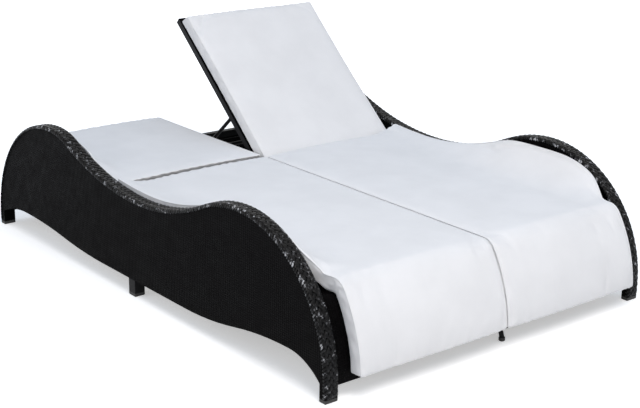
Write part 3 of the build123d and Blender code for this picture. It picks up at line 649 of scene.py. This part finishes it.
# Points on the long and on the short stretches of a ring, their bias, and the points that
# draw its corners, its curl and its crown
LONG = 50
SHORT = 8
END_BIAS = 0.35
CORNER_POINTS = 12
CURL_POINTS = 30
CROWN_POINTS = 50

# A cushion's section: thickness of its body, height of its underside, rounding of its corners,
# the share of that at the curled edge, width of the curled edge and its least rise
BODY = PAD - PAD_GAP
BASE_Z = DECK + PAD_GAP
CORNER = 9.0
EDGE_SHARE = 0.55
CURL = 140.0
FLAT_RISE = 1.0


def section(near, far, rise, crown):
    """Closed section in across and height: bottom, far side, top, near side."""
    rise = max(rise, FLAT_RISE)
    edge = CORNER * EDGE_SHARE
    curl_from = far - CURL
    curl_r = (CURL**2 + rise**2) / (2 * rise)
    under_r = curl_r + BODY
    reach = CURL - edge
    under = under_r - math.sqrt(under_r**2 - reach**2)
    top = BODY + curl_r - math.sqrt(max(curl_r**2 - reach**2, 0))
    under_half = math.asin(reach / under_r) / 2
    top_half = math.asin(min(reach / curl_r, 1)) / 2
    cut = 1 - math.cos(math.pi / 4)
    off, near_off = edge * cut, CORNER * cut
    under_mid = (curl_from + under_r * math.sin(under_half), under_r * (1 - math.cos(under_half)))
    top_mid = (curl_from + curl_r * math.sin(top_half), BODY + curl_r * (1 - math.cos(top_half)))
    crown_mid = ((curl_from + near + CORNER) / 2, BODY + crown)
    bottom_near, bottom_far = (near + CORNER, 0), (curl_from, 0)
    far_under, far_foot = (far - edge, under), (far, under + edge)
    far_head, far_over = (far, top - edge), (far - edge, top)
    top_far, top_near = (curl_from, BODY), (near + CORNER, BODY)
    near_head, near_foot = (near, BODY - CORNER), (near, CORNER)
    near_low = arc_points(near_foot, (near + near_off, near_off), bottom_near, CORNER_POINTS)
    far_low = arc_points(far_under, (far - off, under + off), far_foot, CORNER_POINTS)
    far_top = arc_points(far_head, (far - off, top - off), far_over, CORNER_POINTS)
    near_top = arc_points(top_near, (near + near_off, BODY - near_off), near_head, CORNER_POINTS)
    half = CORNER_POINTS // 2
    bottom = near_low[half:] + [bottom_near]
    bottom += arc_points(bottom_far, under_mid, far_under, CURL_POINTS) + far_low[:half + 1]
    side = far_low[half:] + [far_foot] + far_top[:half + 1]
    over = far_top[half:] + arc_points(far_over, top_mid, top_far, CURL_POINTS)
    over += arc_points(top_far, crown_mid, top_near, CROWN_POINTS) + near_top[:half + 1]
    inner = near_top[half:] + [near_head] + near_low[:half + 1]
    rows = []
    for long_row, short_row in ((bottom, side), (over, inner)):
        rows.append(resample(long_row, LONG, END_BIAS)[:-1])
        rows.append(resample(short_row, SHORT)[:-1])
    return np.concatenate(rows)


def shrunk(loop, by):
    """The loop moved inwards by a distance."""
    ahead, behind = np.roll(loop, -1, axis=0), np.roll(loop, 1, axis=0)
    t = ahead - behind
    t /= np.linalg.norm(t, axis=1)[:, None] + 1e-12
    return loop + np.stack([-t[:, 1], t[:, 0]], axis=1) * by


def grid_cap(ring, flip):
    """Fills a ring of bottom, side, top and side with a grid, from its own points."""
    nb, ns = LONG - 1, SHORT - 1
    bottom = [ring[i] for i in range(nb + 1)]
    top = [ring[nb + ns + i] for i in range(nb + 1)]
    grid_ids, verts = {}, []
    for i in range(nb + 1):
        grid_ids[i, 0] = i
        grid_ids[i, ns] = (2 * nb + ns - i) % len(ring)
    for j in range(ns + 1):
        grid_ids[nb, j] = nb + j
        grid_ids[0, j] = (len(ring) - j) % len(ring)
    for i in range(1, nb):
        for j in range(1, ns):
            t = j / ns
            grid_ids[i, j] = len(ring) + len(verts)
            verts.append(bottom[i] * (1 - t) + top[nb - i] * t)
    faces = []
    for i in range(nb):
        for j in range(ns):
            face = (grid_ids[i, j], grid_ids[i + 1, j], grid_ids[i + 1, j + 1], grid_ids[i, j + 1])
            faces.append(face[::-1] if flip else face)
    return verts, faces


def body_mesh(rings):
    """Skin over rings of equal count, closed by a grid at each end."""
    count = len(rings[0])
    verts = [p for ring in rings for p in ring]
    faces = []
    for i in range(len(rings) - 1):
        for k in range(count):
            j = (k + 1) % count
            faces.append((i * count + k, i * count + j, (i + 1) * count + j, (i + 1) * count + k))
    for index, flip in ((0, True), (len(rings) - 1, False)):
        new, quads = grid_cap(rings[index], flip)
        offset, base = len(verts), index * count
        verts += new
        for quad in quads:
            faces.append(tuple(base + q if q < count else offset + q - count for q in quad))
    return verts, faces


def rim_height(u):
    """Height of the side panels' top edge."""
    if u <= HEAD_R:
        return HEAD_Z + math.sqrt(max(HEAD_R**2 - (u - HEAD_R) ** 2, 0))
    if u <= HEAD_R + (DIP_U - HEAD_R) * CREST_R / (CREST_R + DIP_HEAD_R):
        return CREST_C[1] + math.sqrt(CREST_R**2 - (u - HEAD_R) ** 2)
    if u <= DIP_U:
        return DIP_C[1] - math.sqrt(DIP_HEAD_R**2 - (u - DIP_U) ** 2)
    if u <= DIP_U + (KNEE_U - DIP_U) * DIP_R / (DIP_R + KNEE_CREST_R):
        return FOOT_C[1] - math.sqrt(DIP_R**2 - (u - DIP_U) ** 2)
    if u <= KNEE_U:
        return KNEE_C[1] + math.sqrt(KNEE_CREST_R**2 - (u - KNEE_U) ** 2)
    return KNEE_Z + math.sqrt(max(KNEE_R**2 - (u - KNEE_U) ** 2, 0))


# About how far the curled edges stand over the rim, up to the dip and at the knee, and how far
# before the hinge a back pad's curl has run out flat and over which run
HEAD_LIFT = 16.0
KNEE_LIFT = 5.0
TUCK_END = 8.0
TUCK_RUN = 150.0


def edge_rise(u):
    """How far the curled edge rises over the cushion's flat top."""
    foot = min(max((u - DIP_U) / (KNEE_U - DIP_U), 0), 1)
    lift = HEAD_LIFT + (KNEE_LIFT - HEAD_LIFT) * foot**3
    return max(rim_height(u) + lift - DECK - PAD_GAP - PAD, FLAT_RISE)


def tucked_rise(u):
    """A back pad's curled edge runs out flat before the hinge, so that it clears the seat pad."""
    share = (HINGE[0] - TUCK_END - u) / TUCK_RUN
    return FLAT_RISE + (edge_rise(u) - FLAT_RISE) * eased(share)


# Distance from the middle to a cushion's outer side: beside the panel, where it hangs at the
# front and on the raised backrest, and how far it draws in halfway along that one
FAR_CURLED = 627.0
FAR_HANGING = 588.0
FAR_RAISED = 603.0
FAR_WAIST = 4.0

# Distance from the middle to the sides that face each other there, at their ends, and how much
# further they lie in between
SEAT_NEAR = 1.7
SEAT_BOW = 0.9
BACK_NEAR = 2.0
BACK_BOW = 3.0

# Crown of the stuffed top, rounding of the ends, steps that draw it and steps along the back
CROWN = 4.5
END_R = 8.0
END_STEPS = 4
BACK_RINGS = 52

# The ends at the hinge lean towards each other, and the back cushion's head end leans as well:
# where its foot ends, the leans as shares of the height, the runs over which they come upright
# again, the height at which the seat cushion's lean stops, and how clear it stays of the corner
# that the back cushion swings past it
BACK_FOOT_INSET = 10.0
BACK_FOOT_LEAN = 30.0 / PAD
BACK_HEAD_LEAN = 14.0 / PAD
BACK_FOOT_RUN = 140.0
BACK_HEAD_RUN = 110.0
SEAT_LEAN_RUN = 160.0
SEAT_LEAN_TOP = 48.0
SEAT_CLEAR = 1.5


def rounded_end():
    """Distance from the tip and inset of each ring in a cushion's rounded end."""
    for k in range(END_STEPS + 1):
        c, s = aim(math.pi / 2 * k / END_STEPS)
        yield END_R * (1 - c), END_R * (1 - s)


def seat_start():
    """Where the seat cushion's underside begins, clear of the back cushion at any tilt."""
    crown_top = BASE_Z - HINGE[1] + PAD + PAD_CROWN
    ahead = BACK_FOOT_LEAN * (PAD + PAD_CROWN) - BACK_FOOT_INSET
    swept = math.hypot(ahead, crown_top) + SEAT_CLEAR
    start_top = swept / math.sin(MAX_TILT) - (crown_top - PAD_CROWN) / math.tan(MAX_TILT)
    return HINGE[0] + start_top + PAD / math.tan(MAX_TILT)


# Rings along the seat cushion: flat stretch, round the deck's front corner, down the knee and
# at its rounded lower end, the share of its radius at the tip of that, and where the cushion
# begins to narrow
FLAT_RINGS = 84
FRONT_RINGS = 8
KNEE_RINGS = 14
LOW_RINGS = 5
LOW_TIP = 0.95
NARROW_FROM = 1800.0

# The underside's small arc round the front corner, and the angle at which it meets the knee's
FRONT_R = 4.0
INNER_R = KNEE_R + PAD_GAP
KNEE_ANGLE = math.asin((BASE_Z - FRONT_R - KNEE_Z) / (INNER_R - FRONT_R))
FRONT_C = on_arc((KNEE_U, KNEE_Z), INNER_R - FRONT_R, KNEE_ANGLE)


def seat_stations():
    """Place, direction of the height, inset and share of each ring.

    The share runs to 1 at the deck's front corner and on to 2 at the low end."""
    start = seat_start()
    lean = -1 / math.tan(MAX_TILT)
    for along, inset in rounded_end():
        yield (start + along, BASE_Z), (lean, 1.0), inset, 0.0
    span = FRONT_C[0] - start - END_R
    for k in range(1, FLAT_RINGS + 1):
        share = k / FLAT_RINGS
        u = start + END_R + span * share
        still = max(1 - (u - start) / SEAT_LEAN_RUN, 0) ** 2
        yield (u, BASE_Z), (lean * still, 1.0), 0.0, share
    for k in range(1, FRONT_RINGS + 1):
        a = math.pi / 2 + (KNEE_ANGLE - math.pi / 2) * k / FRONT_RINGS
        yield on_arc(FRONT_C, FRONT_R, a), aim(a), 0.0, 1.0
    knee = (KNEE_U, KNEE_Z)
    low = math.asin((FRONT_LOW + END_R - KNEE_Z) / KNEE_R)
    for k in range(1, KNEE_RINGS + 1):
        a = KNEE_ANGLE + (low - KNEE_ANGLE) * k / KNEE_RINGS
        yield on_arc(knee, INNER_R, a), aim(a), 0.0, 1.0 + k / KNEE_RINGS
    for k in range(1, LOW_RINGS + 1):
        b = math.pi / 2 * k / LOW_RINGS
        a = low - END_R * math.sin(b) / INNER_R
        yield on_arc(knee, INNER_R, a), aim(a), END_R * (1 - math.cos(b)) * LOW_TIP, 2.0


def seat_rings(side):
    """Rings along the deck, round its front corner and down over the knee."""
    rings = []
    for base, lean, inset, share in seat_stations():
        on_deck = share < 1
        narrow = eased((base[0] - NARROW_FROM) / (FRONT_C[0] - NARROW_FROM)) if on_deck else 1.0
        far = FAR_CURLED + (FAR_HANGING - FAR_CURLED) * narrow
        rise = edge_rise(base[0]) if on_deck else FLAT_RISE
        near = SEAT_NEAR + SEAT_BOW * math.sin(math.pi * min(share / 2, 1))
        loop = section(near, far, rise, CROWN - max(share - 1, 0))
        if inset:
            loop = shrunk(loop, inset)
        ring = []
        for y, h in loop:
            lean_h = min(h, SEAT_LEAN_TOP) if lean[1] == 1.0 else h
            u, z = base[0] + lean[0] * lean_h, base[1] + lean[1] * h
            ring.append(np.array(world(u, side * y, z)))
        rings.append(ring)
    return rings


def back_stations(length):
    """Place, lean, inset and share of the way of each ring of a back cushion that lies flat."""
    head, foot = HINGE[0] - length, HINGE[0] - BACK_FOOT_INSET
    ends = list(rounded_end())
    for along, inset in ends:
        yield head + along, BACK_HEAD_LEAN, inset, 0.0
    for k in range(1, BACK_RINGS):
        share = k / BACK_RINGS
        u = head + END_R + (foot - head - 2 * END_R) * share
        head_lean = BACK_HEAD_LEAN * max(1 - (u - head) / BACK_HEAD_RUN, 0) ** 2
        foot_lean = BACK_FOOT_LEAN * max(1 - (foot - u) / BACK_FOOT_RUN, 0) ** 2
        yield u, head_lean + foot_lean, 0.0, share
    for along, inset in reversed(ends):
        yield foot - along, BACK_FOOT_LEAN, inset, 1.0


def back_rings(side, length, curled, angle):
    """Rings from the head end to the hinge, turned up by the backrest's angle."""
    rings = []
    for u, lean, inset, share in back_stations(length):
        bow = math.sin(math.pi * share)
        far = FAR_CURLED if curled else FAR_RAISED - FAR_WAIST * bow
        rise = tucked_rise(u) if curled else FLAT_RISE
        loop = section(BACK_NEAR + BACK_BOW * bow, far, rise, CROWN)
        if inset:
            loop = shrunk(loop, inset)
        ring = []
        for y, h in loop:
            pu, pz = turned(u + lean * h, BASE_Z + h, angle)
            ring.append(np.array(world(pu, side * y, pz)))
        rings.append(ring)
    return rings


# The stuffing: frames of the cloth run, and in metres the furthest move of a point, the least
# distance from the middle and the furthest move outwards
SIM_FRAMES = 20
SIM_CAP = 0.0042
SIM_MIDDLE = 0.0025
SIM_OUT = 0.0006

# How firmly points are held: on a seam, beside a seam, near the ends and in the end faces,
# and the share of its furthest move that a held point loses
HOLD_SEAM = 1.0
HOLD_BESIDE = 0.35
HOLD_NEAR_END = 0.6
HOLD_END = 0.5
HOLD_LOSS = 0.75


def seam_spots():
    """Places in a ring where the top panel and the bottom panel are sewn to the sides."""
    return (2 * (LONG - 1) + SHORT - 1, LONG + SHORT - 2, LONG - 1, 0)


def stuffed(obj, rings):
    """Air pressure blows the sewn cover up between its seams; the result stays in the mesh."""
    count = len(rings[0])
    mesh = obj.data
    before = np.array([v.co for v in mesh.vertices])
    hold = np.zeros(len(before))
    low = np.zeros(len(before), bool)
    for i in range(len(rings)):
        low[i * count:i * count + LONG] = True
        for k in seam_spots():
            hold[i * count + k] = HOLD_SEAM
            for step in (-1, 1):
                spot = i * count + (k + step) % count
                hold[spot] = max(hold[spot], HOLD_BESIDE)
    hold[low] = HOLD_SEAM
    end = (END_STEPS + 1) * count
    for part in (hold[:end], hold[len(rings) * count - end:len(rings) * count]):
        np.maximum(part, HOLD_NEAR_END, out=part)
    hold[len(rings) * count:] = HOLD_END
    group = obj.vertex_groups.new(name="sewn")
    for weight in np.unique(hold):
        if weight > 0:
            group.add([int(v) for v in np.nonzero(hold == weight)[0]], float(weight), "REPLACE")
    cloth = obj.modifiers.new("cover", "CLOTH")
    setup = cloth.settings
    setup.quality = 4
    setup.mass = 0.25
    setup.tension_stiffness = setup.compression_stiffness = 18
    setup.shear_stiffness = 6
    setup.bending_stiffness = 0.35
    setup.shrink_min = -0.022
    setup.use_pressure = True
    setup.uniform_pressure_force = 4
    setup.vertex_group_mass = "sewn"
    setup.effector_weights.gravity = 0
    cloth.point_cache.frame_start, cloth.point_cache.frame_end = 1, SIM_FRAMES
    scene = bpy.context.scene
    for now in range(1, SIM_FRAMES + 1):
        scene.frame_set(now)
    done = obj.evaluated_get(bpy.context.evaluated_depsgraph_get()).to_mesh()
    after = np.array([v.co for v in done.vertices])
    obj.modifiers.remove(cloth)
    obj.vertex_groups.clear()
    scene.frame_set(1)
    move = after - before
    size = np.linalg.norm(move, axis=1)[:, None] + 1e-9
    cap = SIM_CAP * (1 - HOLD_LOSS * hold)[:, None]
    move *= cap * np.tanh(size / cap) / size
    after = before + move
    limit = np.abs(before[:, 1])
    nearest, furthest = np.minimum(limit, SIM_MIDDLE), limit.max() + SIM_OUT
    after[:, 1] = np.sign(before[:, 1]) * np.clip(np.abs(after[:, 1]), nearest, furthest)
    after[low] = before[low]
    mesh.vertices.foreach_set("co", after.ravel())
    mesh.update()


# The welt: first ring that it follows, counted from each end, its facets, its radius in
# metres, and how deep it sits in the seam as a share of that
WELT_RING = 2
WELT_SIDES = 6
WELT_R = 0.0021
WELT_SINK = 0.25


def welt(obj, rings):
    """A sewn cord along the top panel's edge, all the way round."""
    count, first, last = len(rings[0]), WELT_RING, len(rings) - 1 - WELT_RING
    inner, outer = seam_spots()[:2]
    ids = [i * count + outer for i in range(first, last + 1)]
    ids += [last * count + k for k in range(outer + 1, inner)]
    ids += [i * count + inner for i in range(last, first - 1, -1)]
    ids += [first * count + k for k in range(inner - 1, outer, -1)]
    cage = obj.data.vertices
    path = np.array([cage[i].co for i in ids])
    ups = np.array([cage[i].normal for i in ids])
    ahead = np.roll(path, -1, axis=0) - np.roll(path, 1, axis=0)
    ahead /= np.linalg.norm(ahead, axis=1)[:, None] + 1e-12
    ups -= ahead * np.sum(ups * ahead, axis=1)[:, None]
    ups /= np.linalg.norm(ups, axis=1)[:, None] + 1e-12
    out = np.cross(ahead, ups)
    verts, faces = [], []
    for centre, up, sideways in zip(path, ups, out):
        for k in range(WELT_SIDES):
            c, s = aim(2 * math.pi * k / WELT_SIDES)
            verts.append(centre + (up * (c - WELT_SINK) + sideways * s) * WELT_R)
    for i in range(len(path)):
        here, there = i * WELT_SIDES, (i + 1) % len(path) * WELT_SIDES
        for k in range(WELT_SIDES):
            m = (k + 1) % WELT_SIDES
            faces.append((here + k, here + m, there + m, there + k))
    return verts, faces


def cushion(name, rings, node, body):
    """One stuffed and welted cushion, in place of the solid one."""
    verts, faces = body_mesh(rings)
    obj = new_object(name, verts, faces, FABRIC)
    stuffed(obj, rings)
    cord_verts, cord_faces = welt(obj, rings)
    finer = obj.modifiers.new("finer", "SUBSURF")
    finer.levels = finer.render_levels = 1
    smooth = bpy.data.meshes.new_from_object(obj.evaluated_get(bpy.context.evaluated_depsgraph_get()))
    old = obj.data
    bpy.data.objects.remove(obj)
    bpy.data.meshes.remove(old)
    skin_verts = [tuple(v.co) for v in smooth.vertices]
    skin_faces = [tuple(face.vertices) for face in smooth.polygons]
    bpy.data.meshes.remove(smooth)
    verts, faces = joined([(skin_verts, skin_faces), (cord_verts, cord_faces)])
    obj = new_object(name, verts, faces, FABRIC)
    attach(obj, body)
    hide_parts(node)


# Lengths of the back cushions: the left one as in the solids, the right one pulled up a little
LEFT_BACK = 690.0
RIGHT_BACK = 699.0

for sign, side in ((-1, "left"), (1, "right")):
    cushion(side + "_seat_pad", seat_rings(sign), side + "_seat_cushion", "frame")
cushion("left_back_pad", back_rings(-1, LEFT_BACK, True, 0.0), "left_back_cushion", "left_backrest")
cushion("right_back_pad", back_rings(1, RIGHT_BACK, False, RAISED), "right_back_cushion", "right_backrest")


# Floor, light and camera

# Half the floor's width in metres, and where its glow starts, ends, and how strong it is there
FLOOR_HALF = 60.0
GLOW_FROM = 1.3
GLOW_TO = 3.2
GLOW_LOW = 0.46
GLOW_HIGH = 1.1


def floor_setup():
    """A pale floor that fades to white with the distance, as the picture's ground does."""
    mesh = bpy.data.meshes.new("floor")
    corners = [(x * FLOOR_HALF, y * FLOOR_HALF, 0) for x, y in ((-1, -1), (1, -1), (1, 1), (-1, 1))]
    mesh.from_pydata(corners, [], [(0, 1, 2, 3)])
    floor = bpy.data.objects.new("floor", mesh)
    bpy.context.scene.collection.objects.link(floor)
    mat = bpy.data.materials.new("floor_pale")
    mat.use_nodes = True
    tree = mat.node_tree
    tree.nodes.clear()
    net = Net(tree)
    out = net.node("ShaderNodeOutputMaterial")
    diffuse = net.node("ShaderNodeBsdfDiffuse")
    diffuse.inputs["Color"].default_value = (0.88, 0.875, 0.865, 1)
    glow = net.node("ShaderNodeEmission")
    glow.inputs["Color"].default_value = (1, 1, 1, 1)
    spread = net.node("ShaderNodeVectorMath", operation="LENGTH")
    net.put(spread.inputs[0], net.coords())
    far = net.mapped(spread.outputs["Value"], GLOW_FROM, GLOW_TO, GLOW_LOW, GLOW_HIGH)
    net.put(glow.inputs["Strength"], net.math("MULTIPLY", net.seen(), far))
    add = net.node("ShaderNodeAddShader")
    net.put(add.inputs[0], diffuse.outputs[0])
    net.put(add.inputs[1], glow.outputs[0])
    net.put(out.inputs["Surface"], add.outputs[0])
    mesh.materials.append(mat)


# The sky: warm near the horizon, blue overhead; its strength as light and as background
HORIZON = (0.98, 0.90, 0.84, 1)
ZENITH = (0.62, 0.82, 1.08, 1)
SKY_LIGHT = 0.52
SKY_SEEN = 1.05


def sky_setup():
    """Light from all round, and a white background for the rays that look at it."""
    sky = bpy.data.worlds.new("studio")
    bpy.context.scene.world = sky
    sky.use_nodes = True
    tree = sky.node_tree
    tree.nodes.clear()
    net = Net(tree)
    out = net.node("ShaderNodeOutputWorld")
    back = net.node("ShaderNodeBackground")
    seen = net.seen()
    height = net.split(net.node("ShaderNodeTexCoord").outputs["Generated"])[2]
    sky_tint = net.mix(net.mapped(height, 0.05, 0.75, 0, 1), HORIZON, ZENITH)
    net.put(back.inputs["Color"], net.mix(seen, sky_tint, (1, 1, 1, 1)))
    net.put(back.inputs["Strength"], net.mapped(seen, 0, 1, SKY_LIGHT, SKY_SEEN))
    net.put(out.inputs["Surface"], back.outputs[0])


def lamp(name, place, aim_at, size, power, colour):
    """A square lamp at a place, turned to a point."""
    data = bpy.data.lights.new(name, "AREA")
    data.shape = "SQUARE"
    data.size = size
    data.energy = power
    data.color = colour
    obj = bpy.data.objects.new(name, data)
    obj.location = place
    obj.rotation_euler = (Vector(aim_at) - Vector(place)).to_track_quat("-Z", "Y").to_euler()
    bpy.context.scene.collection.objects.link(obj)


# The camera: its place in metres from the ground under the head end's middle, its heading from
# u towards y, its pitch and its roll in degrees, its focal length and the picture's width in
# pixels, and the sensor's width in millimetres
EYE = (4.7404, -2.9073, 1.7296)
HEADING = 141.1868
PITCH = -17.8173
ROLL = 0.7294
FOCAL_PIXELS = 1388.02
PICTURE_PIXELS = 640.0
SENSOR = 36.0


def camera_setup():
    """The camera stands where the legs' feet and the deck's lines in the picture put it."""
    data = bpy.data.cameras.new("camera")
    data.sensor_width = SENSOR
    data.lens = FOCAL_PIXELS * SENSOR / PICTURE_PIXELS
    data.clip_end = 200
    cam = bpy.data.objects.new("camera", data)
    eye = Vector(EYE) - Vector((HALF_L * MM, 0, 0))
    heading = Matrix.Rotation(math.radians(HEADING - 90), 4, "Z")
    pitch = Matrix.Rotation(math.radians(PITCH + 90), 4, "X")
    roll = Matrix.Rotation(math.radians(ROLL), 4, "Z")
    cam.matrix_world = Matrix.Translation(eye) @ heading @ pitch @ roll
    bpy.context.scene.collection.objects.link(cam)
    bpy.context.scene.camera = cam


floor_setup()
sky_setup()

# A large lamp high before the foot end, and a faint one beside the left panel
lamp("key", (3.4, -1.4, 4.8), (0.2, 0, 0.3), 3.0, 208, (1.0, 0.955, 0.925))
lamp("side", (-1.5, -5.0, 3.0), (0, 0, 0.3), 2.5, 30, (1.0, 0.98, 0.97))
camera_setup()
bpy.context.scene.view_settings.view_transform = "Standard"


# Hand over

bpy.context.view_layer.update()
